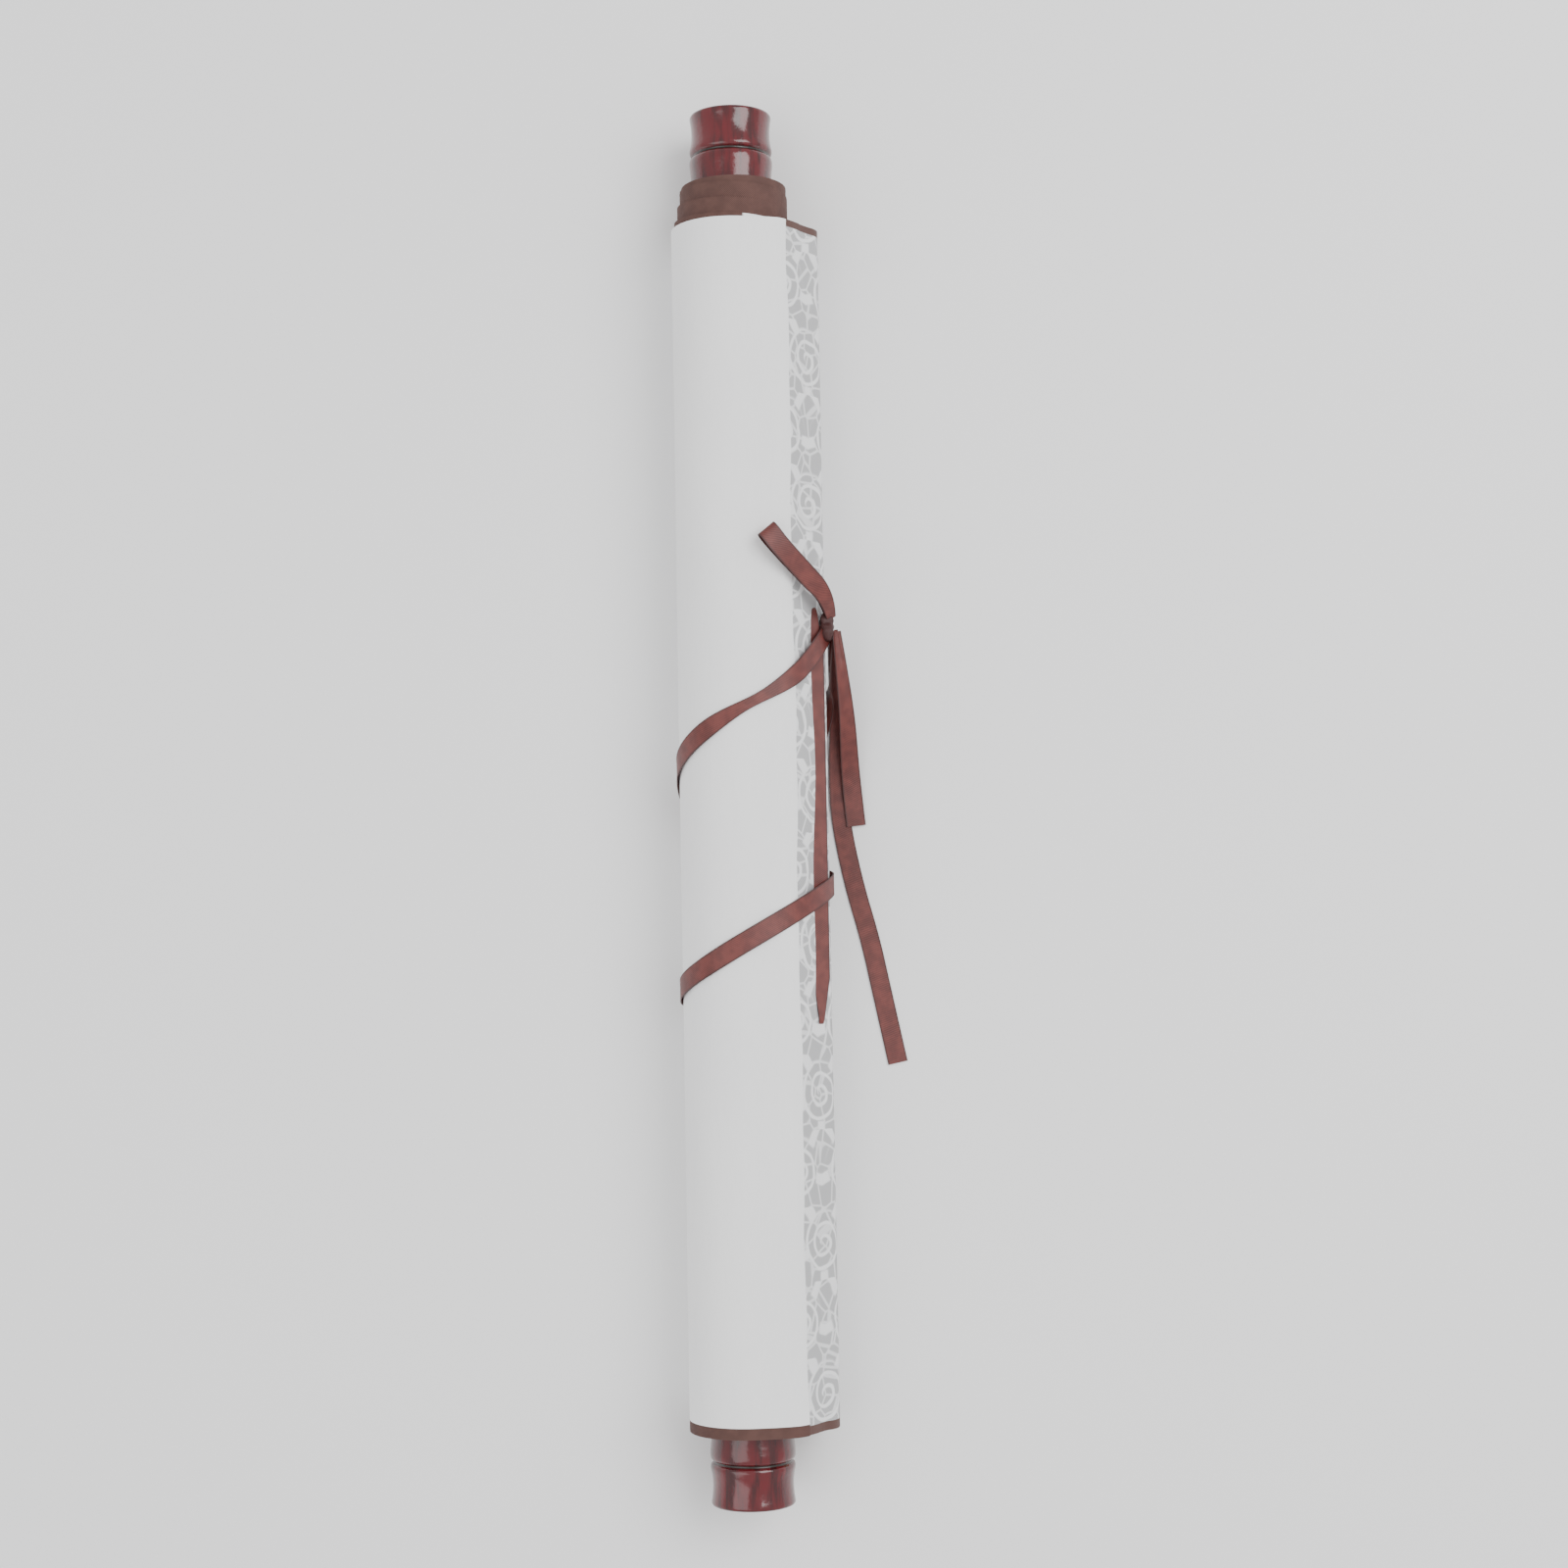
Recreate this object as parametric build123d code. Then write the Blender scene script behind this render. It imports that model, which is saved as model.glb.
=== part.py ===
"""A small blank hanging scroll, rolled up and tied with a ribbon.

The sheet is wound on a turned roller and its stave lies against the roll.
Frame: origin at the middle of the flat spot that the roll rests on, under the
axis of the outer turns. +Y runs along the roller, +X points to the stave, +Z is up.
Millimetres.
"""
import math
import os

from build123d import *

# ---------------------------------------------------------------- the rolled sheet
sheet_width = 360.0  # across the mounted sheet, which is along the roller
sheet_thickness = 0.45  # paper backing, paper and cloth pasted together
roll_radius = 17.8  # outside of the outer turn
flat_spot_width = 8.0  # where the soft roll bears on the table
edging_width = 3.0  # brown cloth folded over both long edges
edging_gap = 0.02  # round the drawn-in edging, between its solid and the sheet's
slip_length = 13.0  # how far the middle turns have slid out past the outer turn
slip_radius = 16.2  # outside of the last turn that slid
slip_offset = 1.4  # the slid turns lie this far from the outer turns' axis, along X
inner_slip = 7.0  # how far the innermost turns and the roller have slid
slip_lip = 0.5  # flat rim left at the end of the slid turns

# ---------------------------------------------------------------- roller and knobs
rod_diameter = 20.0
rod_offset = 0.9  # the roller's axis from the outer turns' axis, along X
rod_end_gap = 0.3  # from each edge of the inner turns to the knob's shoulder
rod_chamfer = 0.5
bore_clearance = 0.3  # between the rod and the first turn
knob_length = 29.0
knob_shoulder_radius = 12.0
knob_belly_radius = 12.65
knob_groove_radius = 11.6
knob_groove_edge_radius = 12.3
knob_lip_radius = 12.6
knob_waist_radius = 11.95
knob_rim_radius = 12.45
knob_belly_at = 13.0  # distances along the knob from its shoulder
knob_groove_at = 15.6  # middle of the groove
knob_groove_floor = 0.5  # widths of the groove, at its bottom and at its mouth
knob_groove_mouth = 1.4
knob_lip_at = 17.3
knob_waist_at = 22.6
knob_dome = 0.6  # crown of the end face
knob_edge = 1.0  # rounding of the end's rim
knob_clearance = 0.3  # around the knob where turns pass over it
tenon_diameter = 10.0
tenon_length = 14.0
tenon_clearance = 0.1
tenon_end_gap = 1.0

# ---------------------------------------------------------------- stave and its cover
stave_width = 13.0
stave_depth = 8.0  # half round, flat side against the roll
stave_turn = -6.0  # degrees round the roll from level
stave_gap = 0.25  # between the roll and the back of the cover
cover_thickness = 0.45
cover_gap = 0.08  # between the wood and its cloth
web_leave = 80.0  # degrees round the roll where the last turn leaves it
web_shoulder_run = 12.9  # straight stretch from there to the shoulder
web_shoulder_radius = 5.0
web_land = 60.0  # degrees round the stave where the cloth lands on it
web_land_run = 3.2
web_land_radius = 3.0
paper_edge_x = 18.0  # where the white backing paper stops and the brocade shows

# ---------------------------------------------------------------- ribbons
ribbon_width = 6.0
ribbon_thickness = 0.35
ribbon_clearance = 0.3  # between a ribbon and what it presses on
ribbon_step = 2.0  # spacing of the sections along a ribbon
tail_turn_height = 16.0  # above this a tail stands on edge beside the stave
loop_width_line = (0.76, 0.64, -0.15)  # direction across the bow's loop
groove_height = 3.2  # up to here the soft roll gives way to the ribbons under it
hang_near = -61.0  # holes of the hanging ribbon, along the stave
hang_far = 64.0
hang_turn = 59.5  # degrees round the stave where the hanging ribbon lies
hang_hole_diameter = 3.0
hang_hole_bottom = 2.0  # from the stave's centre line
hang_bunch_width = 1.6
hang_bunch_thickness = 0.9
hang_bunch_run = 14.0  # length over which the ribbon spreads out flat
knot_y = 58.0
knot_turn = 31.0  # degrees round the stave
knot_size = (2.8, 7.0, 4.0)  # out from the stave, along it, round it
knot_round = 1.2
knot_gap = 0.05

# A free ribbon is placed by the centre points of its route, chosen by hand.
# The tied ribbon leaves the knot, goes over and under the roll twice and comes back.
first_turn_route = [
    (27.4, 56.4, 19.7),
    (24.4, 50.3, 24.5),
    (16.0, 40.0, 33.8),
    (-6.2, 29.0, 37.0),
    (-18.3, 19.0, 24.9),
    (-18.3, 11.0, 12.4),
    (-13.4, 3.5, 4.0),
    (-8.6, -2.0, 1.5),
    (0.2, -8.2, 1.5),
    (8.0, -12.0, 1.8),
    (16.5, -15.6, 5.4),
    (27.8, -18.0, 10.4),
    (28.3, -20.0, 19.4),
    (16.0, -28.0, 33.8),
    (4.9, -34.25, 35.4),
]
second_turn_route = [
    (4.9, -34.25, 35.4),
    (-6.2, -40.5, 37.0),
    (-18.3, -48.5, 24.9),
    (-18.3, -52.5, 12.4),
    (-13.4, -51.5, 4.0),
    (-7.6, -45.0, 0.8),
    (0.2, -32.0, 0.5),
    (8.1, -15.0, 0.6),
    (16.5, 7.0, 4.4),
    (28.0, 34.0, 10.4),
    (28.0, 46.0, 15.0),
    (28.5, 55.0, 17.0),
]
loop_route = [
    (28.4, 60.4, 20.0),
    (27.6, 66.6, 24.8),
    (20.2, 73.6, 31.4),
    (13.4, 80.4, 36.4),
    (9.4, 85.2, 37.4),
    (10.2, 85.2, 39.8),
    (14.0, 80.0, 38.8),
    (20.8, 73.0, 33.2),
    (28.0, 65.8, 27.0),
    (28.8, 60.4, 21.6),
]
short_tail_route = [
    (30.3, 56.6, 20.0),
    (31.8, 44.0, 18.0),
    (33.2, 31.0, 11.4),
    (33.8, 19.0, 4.6),
    (34.6, 9.0, 1.6),
    (35.6, -1.2, 0.8),
]
long_tail_route = [
    (29.4, 57.2, 18.0),
    (30.0, 44.0, 14.2),
    (30.6, 31.0, 7.4),
    (30.2, 15.0, 1.7),
    (30.8, 0.0, 0.25),
    (34.6, -19.5, 0.25),
    (39.2, -36.0, 0.25),
    (42.4, -52.0, 0.25),
    (46.9, -73.8, 0.25),
]

# ---------------------------------------------------------------- places that follow
roll_axis_z = math.sqrt(roll_radius**2 - (flat_spot_width / 2) ** 2)
half_width = sheet_width / 2
rod_length = sheet_width + 2 * rod_end_gap
bore_radius = rod_diameter / 2 + bore_clearance
over_knob_radius = knob_belly_radius + knob_clearance
stave_back = roll_radius + stave_gap + cover_thickness + cover_gap
stave_round = stave_width / 2
stave_centre_out = stave_back + stave_depth - stave_round
cover_round = stave_round + cover_gap + cover_thickness


def on_circle(centre, radius, degrees):
    """Point at an angle round a centre, in the X-Z plane."""
    angle = math.radians(degrees)
    return (centre[0] + radius * math.cos(angle), centre[1] + radius * math.sin(angle))


roll_centre = (0.0, roll_axis_z)
rod_centre = (rod_offset, roll_axis_z)
slip_centre = (slip_offset, roll_axis_z)
stave_centre = on_circle(roll_centre, stave_centre_out, stave_turn)


def station(y):
    """Plane across the roller at y, seen from the near end: local X is X, local Y is Z."""
    return Plane(origin=(0, y, 0), x_dir=(1, 0, 0), z_dir=(0, -1, 0))


def drum(y_from, y_to, radius, centre):
    """Round bar along Y."""
    return extrude(station(y_to) * Pos(*centre) * Circle(radius), y_to - y_from)


def taper(y_from, radius_from, centre_from, y_to, radius_to, centre_to):
    """Straight-sided cone along Y between two circles whose centres may differ."""
    first = station(y_from) * Pos(*centre_from) * Circle(radius_from)
    last = station(y_to) * Pos(*centre_to) * Circle(radius_to)
    return loft([first, last])


def bar(y_from, y_to, section):
    """A section in the X-Z plane, run along Y."""
    return extrude(station(y_to) * section, y_to - y_from)


def along(x_from, x_to, y_from, y_to, z_from, z_to):
    """Box between two corners."""
    size = (x_to - x_from, y_to - y_from, z_to - z_from)
    middle = ((x_from + x_to) / 2, (y_from + y_to) / 2, (z_from + z_to) / 2)
    return Pos(*middle) * Box(*size)


# ---------------------------------------------------------------- roller
def make_rod():
    bare = drum(inner_slip - rod_length / 2, inner_slip + rod_length / 2, rod_diameter / 2, rod_centre)
    bare = chamfer(bare.edges().filter_by(GeomType.CIRCLE), rod_chamfer)
    hole_radius = tenon_diameter / 2 + tenon_clearance
    hole_depth = tenon_length + tenon_end_gap
    for end in (-1, 1):
        mouth = inner_slip + end * rod_length / 2
        inside = mouth - end * hole_depth
        bare -= drum(min(mouth, inside), max(mouth, inside), hole_radius, rod_centre)
    return bare


def make_knob(end):
    """Turned knob: belly, groove, then a waisted drum with a crowned end."""
    mouth = knob_groove_mouth / 2
    floor = knob_groove_floor / 2
    belly_end = (knob_groove_edge_radius, knob_groove_at - mouth)
    drum_start = (knob_groove_edge_radius, knob_groove_at + mouth)
    rim_from = (knob_rim_radius, knob_length - knob_dome - knob_edge)
    rim_to = (knob_rim_radius - knob_edge, knob_length - knob_dome)
    rim_middle = on_circle((rim_to[0], rim_from[1]), knob_edge, 45)
    crown_radius = (rim_to[0] ** 2 + knob_dome**2) / (2 * knob_dome)
    crown_middle = on_circle((0, knob_length - crown_radius), crown_radius, 90 - math.degrees(0.05))
    outline = Line((0, 0), (knob_shoulder_radius, 0))
    belly_from = ((knob_shoulder_radius * 3 + knob_belly_radius) / 4, knob_belly_at / 2)
    outline += ThreePointArc((knob_shoulder_radius, 0), belly_from, (knob_belly_radius, knob_belly_at))
    outline += Line((knob_belly_radius, knob_belly_at), belly_end)
    outline += Polyline(
        belly_end,
        (knob_groove_radius, knob_groove_at - floor),
        (knob_groove_radius, knob_groove_at + floor),
        drum_start,
    )
    outline += Line(drum_start, (knob_lip_radius, knob_lip_at))
    outline += ThreePointArc((knob_lip_radius, knob_lip_at), (knob_waist_radius, knob_waist_at), rim_from)
    outline += ThreePointArc(rim_from, rim_middle, rim_to)
    outline += ThreePointArc(rim_to, crown_middle, (0, knob_length))
    outline += Line((0, knob_length), (0, 0))
    turned = revolve(make_face(outline), Axis.Y)
    tenon = Plane.XZ * Circle(tenon_diameter / 2)
    turned += extrude(tenon, tenon_length)
    if end < 0:
        turned = Rot(180, 0, 0) * turned
    shoulder = inner_slip + end * rod_length / 2
    return Pos(rod_offset, shoulder, roll_axis_z) * turned


# ---------------------------------------------------------------- stave, cover and web
def stave_section(grow):
    """Half-round section of the stave, grown by a thickness on every side."""
    across = stave_width + 2 * grow
    back = stave_back - grow
    block = Pos((back + stave_centre_out) / 2, 0) * Rectangle(stave_centre_out - back, across)
    nose = Pos(stave_centre_out, 0) * Circle(stave_round + grow)
    beyond_back = Pos(back + across, 0) * Rectangle(2 * across, 2 * across)
    return Pos(*roll_centre) * Rot(0, 0, stave_turn) * (block + (nose & beyond_back))


def web_section():
    """The last part-turn, from where it leaves the roll to where it lands on the stave."""
    middle = sheet_thickness / 2
    leave = on_circle(roll_centre, roll_radius - middle, web_leave)
    slope = math.radians(web_leave)
    shoulder = (
        leave[0] + web_shoulder_run * math.sin(slope),
        leave[1] - web_shoulder_run * math.cos(slope),
    )
    land = on_circle(stave_centre, cover_round - middle, web_land)
    fall = math.radians(web_land)
    knee = (land[0] - web_land_run * math.sin(fall), land[1] + web_land_run * math.cos(fall))
    line = FilletPolyline(leave, shoulder, knee, land, radius=[web_shoulder_radius, web_land_radius])
    return trace(line, sheet_thickness)


def hanging_hole(y):
    """Hole in the stave that an end of the hanging ribbon goes into."""
    start = on_circle(stave_centre, hang_hole_bottom, hang_turn)
    mouth = on_circle(stave_centre, cover_round + 1, hang_turn)
    out = Vector(mouth[0] - start[0], 0, mouth[1] - start[1])
    floor = Plane(origin=(start[0], y, start[1]), z_dir=out)
    return extrude(floor * Circle(hang_hole_diameter / 2), out.length)


def make_stave():
    wood = bar(-half_width, half_width, stave_section(0))
    for y in (hang_near, hang_far):
        wood -= hanging_hole(y)
    return wood


# ---------------------------------------------------------------- the turns as one solid
def near_end_room():
    """What lies beyond the near edges of the turns: the inner turns are drawn in."""
    outer_edge = -half_width
    slid_edge = outer_edge + slip_length
    inner_edge = outer_edge + inner_slip
    recess_radius = roll_radius - 2 * sheet_thickness
    room = along(-60, 60, outer_edge - 40, outer_edge, -5, 60)
    room += taper(outer_edge, recess_radius, roll_centre, slid_edge, slip_radius, slip_centre)
    collar = taper(inner_edge, over_knob_radius, rod_centre, slid_edge, slip_radius - slip_lip, slip_centre)
    collar += drum(inner_edge, slid_edge, over_knob_radius, rod_centre)
    return room - collar


def far_end_room():
    """What lies beyond the far edges of the turns: the inner turns stand out as a cone."""
    outer_edge = half_width
    slid_edge = outer_edge + slip_length
    inner_edge = outer_edge + inner_slip
    room = along(-60, 60, outer_edge, slid_edge + 40, -5, 60)
    root_radius = roll_radius - sheet_thickness
    room -= taper(outer_edge, root_radius, roll_centre, slid_edge, slip_radius, slip_centre)
    room += taper(inner_edge, over_knob_radius, rod_centre, slid_edge, slip_radius - slip_lip, slip_centre)
    return room


def make_wound_parts():
    """Sheet, stave cover and the edgings of both long edges, cut from one wound form."""
    longest = half_width + slip_length
    turns = drum(-half_width, longest, roll_radius, roll_centre)
    cover = stave_section(cover_gap + cover_thickness) - stave_section(cover_gap)
    turns += bar(-half_width, longest, web_section())
    turns += bar(-half_width, longest, cover)
    turns -= near_end_room()
    turns -= far_end_room()
    turns -= drum(-longest, longest, bore_radius, rod_centre)
    turns -= along(-60, 60, -2 * longest, 2 * longest, -5, 0)
    for y in (hang_near, hang_far):
        turns -= hanging_hole(y)
    for groove in ribbon_grooves():
        turns -= groove

    beside_roll = Rectangle(60, 60, align=(Align.MIN, Align.CENTER))
    cover_zone = Pos(*roll_centre) * Rot(0, 0, stave_turn) * Pos(roll_radius + stave_gap / 2, 0) * beside_roll
    above_web = Rectangle(60, 60, align=(Align.MIN, Align.MIN))
    cover_zone += Pos(paper_edge_x, roll_axis_z + roll_radius / 4) * above_web

    near_band = along(-60, 60, -2 * longest, edging_width - half_width, -5, 60)
    drawn_from = inner_slip - half_width
    drawn_to = slip_length + edging_width - half_width
    drawn_radius = slip_radius - slip_lip
    near_inner = drum(drawn_from, drawn_to, drawn_radius, slip_centre)
    near_room = drum(drawn_from, drawn_to, drawn_radius + edging_gap, slip_centre)
    far_slid = along(-60, 60, half_width, 2 * longest, -5, 60)
    far_band = bar(half_width - edging_width, half_width, cover_zone)
    middle = turns - near_band - near_room - far_slid - far_band
    zone = bar(-2 * longest, 2 * longest, cover_zone)
    return {
        "rolled_sheet": middle - zone,
        "stave_cover": middle & zone,
        "edging_near": turns & near_band,
        "edging_near_inner": turns & near_inner,
        "edging_far": turns & far_band,
        "edging_far_inner": turns & far_slid,
    }


# ---------------------------------------------------------------- ribbons


def route_radii(route):
    """Fillet radius at each inner point: 0.45 of the shorter run over tan(half turn)."""
    radii = []
    for before, here, after in zip(route, route[1:], route[2:]):
        run_in = Vector(*here) - Vector(*before)
        run_out = Vector(*after) - Vector(*here)
        turn = math.radians(run_in.get_angle(run_out))
        radii.append(0.45 * min(run_in.length, run_out.length) / math.tan(turn / 2))
    return radii


def route_line(name, route):
    radii = route_radii(route)
    line = FilletPolyline(*route, radius=radii)
    print(name, "length", round(line.length, 1), "radii", [round(radius, 1) for radius in radii])
    return line


def round_the_roll(place, heading):
    """Face of a ribbon that goes round the roll: square to its heading and to the roll."""
    return Vector(-heading.Z, 0, heading.X)


def round_the_loop(place, heading):
    """Face of the bow's loop, whose width lies along one line all the way round."""
    return heading.cross(Vector(*loop_width_line))


def dropping(place, heading):
    """Face of a tail: beside the stave at the knot, flat once it is down."""
    height = min(1.0, place.Z / tail_turn_height)
    return Vector(height, 0, 1 - height)


def flat_size(distance, length):
    return ribbon_width, ribbon_thickness


def hanging_size(distance, length):
    """Bunched in the holes, and flat between them."""
    hole = cover_round - hang_hole_bottom
    nearest = min(distance, length - distance) - hole
    spread = min(1.0, max(0.0, nearest / hang_bunch_run))
    width = hang_bunch_width + (ribbon_width - hang_bunch_width) * spread
    thickness = hang_bunch_thickness + (ribbon_thickness - hang_bunch_thickness) * spread
    return width, thickness


def make_ribbon(line, face_of, size_at, step):
    """Flat band along a line, as a stack of short straight-sided stretches."""
    count = max(2, math.ceil(line.length / step))
    sections = []
    for index in range(count + 1):
        share = index / count
        place = line.position_at(share)
        heading = line.tangent_at(share)
        face = face_of(place, heading)
        face = (face - heading * face.dot(heading)).normalized()
        width, thickness = size_at(share * line.length, line.length)
        cut = Plane(origin=place, x_dir=heading.cross(face), z_dir=heading)
        sections.append(cut * Rectangle(width, thickness))
    return loft(sections, ruled=True)


def groove_size(distance, length):
    return ribbon_width + 2 * ribbon_clearance, groove_height


def ribbon_grooves():
    """Room in the soft roll for the two turns of the tie, where they pass under it."""
    under = along(-roll_radius, roll_radius, -half_width, half_width, -groove_height, groove_height)
    grooves = []
    for line in (first_turn_line, second_turn_line):
        swept = make_ribbon(line, round_the_roll, groove_size, ribbon_step)
        grooves.append(swept & under)
    return grooves


def make_knot(grow):
    """Rounded block against the side of the stave."""
    centre = on_circle(stave_centre, cover_round + ribbon_clearance + knot_size[0] / 2, knot_turn)
    sides = [side + 2 * grow for side in knot_size]
    block = Box(*sides)
    return Pos(centre[0], knot_y, centre[1]) * Rot(0, -knot_turn, 0) * fillet(block.edges(), knot_round)


def largest(shape):
    """The main solid, where a cut also leaves a crumb inside the knot."""
    return max(shape.solids(), key=lambda solid: solid.volume)


def make_hanging_ribbon():
    lift = cover_round + ribbon_clearance + ribbon_thickness / 2
    bottom = on_circle(stave_centre, hang_hole_bottom + 0.5, hang_turn)
    top = on_circle(stave_centre, lift, hang_turn)
    route = [
        (bottom[0], hang_far, bottom[1]),
        (top[0], hang_far, top[1]),
        (top[0], hang_near, top[1]),
        (bottom[0], hang_near, bottom[1]),
    ]
    line = FilletPolyline(*route, radius=hang_bunch_thickness)
    print("hanging ribbon length", round(line.length, 1))
    out = math.radians(hang_turn)
    outward = Vector(math.cos(out), 0, math.sin(out))

    def face_of(place, heading):
        sideways = Vector(-outward.Z, 0, outward.X)
        return heading.cross(sideways)

    return make_ribbon(line, face_of, hanging_size, hang_bunch_thickness / 2)


# ---------------------------------------------------------------- build and write
first_turn_line = route_line("first turn of the tie", first_turn_route)
second_turn_line = route_line("second turn of the tie", second_turn_route)
room = make_knot(knot_gap)
first_turn = make_ribbon(first_turn_line, round_the_roll, flat_size, ribbon_step)
second_turn = make_ribbon(second_turn_line, round_the_roll, flat_size, ribbon_step)
loop = make_ribbon(route_line("bow loop", loop_route), round_the_loop, flat_size, ribbon_step / 4)
short_tail = make_ribbon(route_line("short tail", short_tail_route), dropping, flat_size, ribbon_step)
long_tail = make_ribbon(route_line("long tail", long_tail_route), dropping, flat_size, ribbon_step)

nodes = {
    "roller_rod": make_rod(),
    "knob_near": make_knob(-1),
    "knob_far": make_knob(1),
    **make_wound_parts(),
    "stave": make_stave(),
    "hanging_ribbon": make_hanging_ribbon(),
    "tie_first_turn": largest(first_turn - room),
    "tie_second_turn": largest(second_turn - room),
    "tie_knot": make_knot(0),
    "tie_loop": largest(loop - room),
    "tie_tail_short": largest(short_tail - room),
    "tie_tail_long": largest(long_tail - room),
}

os.makedirs("parts", exist_ok=True)
for name, shape in nodes.items():
    solids = shape.solids()
    print(name, len(solids), "solid,", round(sum(solid.volume for solid in solids)), "mm3")
    export_step(shape, f"parts/{name}.step")
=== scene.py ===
# %% [markdown]
# # A rolled hanging scroll
# A scroll is a long sheet pasted up from paper and cloth, wound on a turned roller and tied with a ribbon.
# The imported model gives every size. We load it first, and print the box of ours at the end.

# %% Load the frame
import math

import bpy
from mathutils import Euler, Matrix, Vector


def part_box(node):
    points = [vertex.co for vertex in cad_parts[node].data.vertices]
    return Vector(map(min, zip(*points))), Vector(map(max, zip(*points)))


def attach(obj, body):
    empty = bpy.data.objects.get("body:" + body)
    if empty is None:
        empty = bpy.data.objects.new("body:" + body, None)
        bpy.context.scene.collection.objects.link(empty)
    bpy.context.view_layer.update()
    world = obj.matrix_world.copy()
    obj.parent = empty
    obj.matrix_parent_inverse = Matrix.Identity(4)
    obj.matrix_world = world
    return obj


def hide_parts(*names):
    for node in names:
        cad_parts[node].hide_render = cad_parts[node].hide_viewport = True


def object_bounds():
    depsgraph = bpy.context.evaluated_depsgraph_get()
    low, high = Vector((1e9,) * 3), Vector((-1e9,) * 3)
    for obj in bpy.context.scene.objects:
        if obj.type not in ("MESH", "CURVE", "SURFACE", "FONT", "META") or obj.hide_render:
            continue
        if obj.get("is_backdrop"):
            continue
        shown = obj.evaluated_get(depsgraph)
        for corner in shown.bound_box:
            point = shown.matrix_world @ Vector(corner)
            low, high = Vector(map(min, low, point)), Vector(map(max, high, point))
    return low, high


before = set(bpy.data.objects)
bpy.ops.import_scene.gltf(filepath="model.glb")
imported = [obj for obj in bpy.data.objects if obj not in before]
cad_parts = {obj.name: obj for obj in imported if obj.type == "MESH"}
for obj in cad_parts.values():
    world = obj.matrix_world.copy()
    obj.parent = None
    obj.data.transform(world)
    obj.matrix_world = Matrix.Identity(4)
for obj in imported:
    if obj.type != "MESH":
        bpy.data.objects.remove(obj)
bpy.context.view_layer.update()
MM = 0.001

# %% [markdown]
# ## Camera, floor and light
# The camera looks almost straight down from three quarters of a metre, with a slightly long lens.
# Two large soft lamps, one to each side, and a pale room give quiet shadows.

# %% Camera, floor and light
LENS = 57.64  # millimetres, as is the sensor
SENSOR = 36
CAMERA_PLACE = (0.01567, -0.0368, 0.77105)
CAMERA_TURN = (3.63, 0.218, -1.049)  # degrees
FLOOR_SIZE = 6
ROOM_LIGHT = 0.95

camera_data = bpy.data.cameras.new("camera")
camera_data.lens = LENS
camera_data.sensor_width = SENSOR
camera = bpy.data.objects.new("camera", camera_data)
camera.location = CAMERA_PLACE
camera.rotation_euler = Euler([math.radians(turn) for turn in CAMERA_TURN])
bpy.context.scene.collection.objects.link(camera)
bpy.context.scene.camera = camera

bpy.ops.object.select_all(action="DESELECT")
bpy.ops.mesh.primitive_plane_add(size=FLOOR_SIZE, location=(0, 0, 0))
floor = bpy.context.object
floor.name = "floor"
floor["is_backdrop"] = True


def area_lamp(name, place, aim, size, power):
    data = bpy.data.lights.new(name, "AREA")
    data.size = size
    data.energy = power
    lamp = bpy.data.objects.new(name, data)
    lamp.location = place
    lamp.rotation_euler = (Vector(aim) - Vector(place)).to_track_quat("-Z", "Y").to_euler()
    bpy.context.scene.collection.objects.link(lamp)


area_lamp("window", (0.75, 0.35, 1.15), (0, 0, 0), 0.9, 15)
area_lamp("fill", (-0.9, -0.3, 1.3), (0, 0, 0), 1.2, 8)
world = bpy.data.worlds.new("room")
bpy.context.scene.world = world
world.use_nodes = True
world.node_tree.nodes["Background"].inputs["Color"].default_value = (1, 1, 1, 1)
world.node_tree.nodes["Background"].inputs["Strength"].default_value = ROOM_LIGHT

# %% [markdown]
# ## Writing shaders as sums
# One small class wraps a socket, so that a mask is written as an expression.

# %% Shader sums
class Value:
    """A number that varies over a surface."""

    def __init__(self, shader, socket):
        self.shader = shader
        self.socket = socket

    def math(self, operation, *others):
        return self.shader.node("ShaderNodeMath", {"operation": operation}, [self, *others])

    def __add__(self, other):
        return self.math("ADD", other)

    def __mul__(self, other):
        return self.math("MULTIPLY", other)

    def __sub__(self, other):
        return self.math("SUBTRACT", other)

    def __truediv__(self, other):
        return self.math("DIVIDE", other)

    __radd__ = __add__
    __rmul__ = __mul__

    def __rsub__(self, other):
        return self.shader.node("ShaderNodeMath", {"operation": "SUBTRACT"}, [other, self])

    def ripple(self, pitch):
        """A sine wave that repeats at this pitch, from -1 to 1."""
        return (self * (2 * math.pi / pitch)).math("SINE")

    def step(self, low, high):
        """0 below low, 1 above high, smooth between."""
        settings = {"interpolation_type": "SMOOTHSTEP"}
        return self.shader.node("ShaderNodeMapRange", settings, {0: self, 1: low, 2: high})


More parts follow.
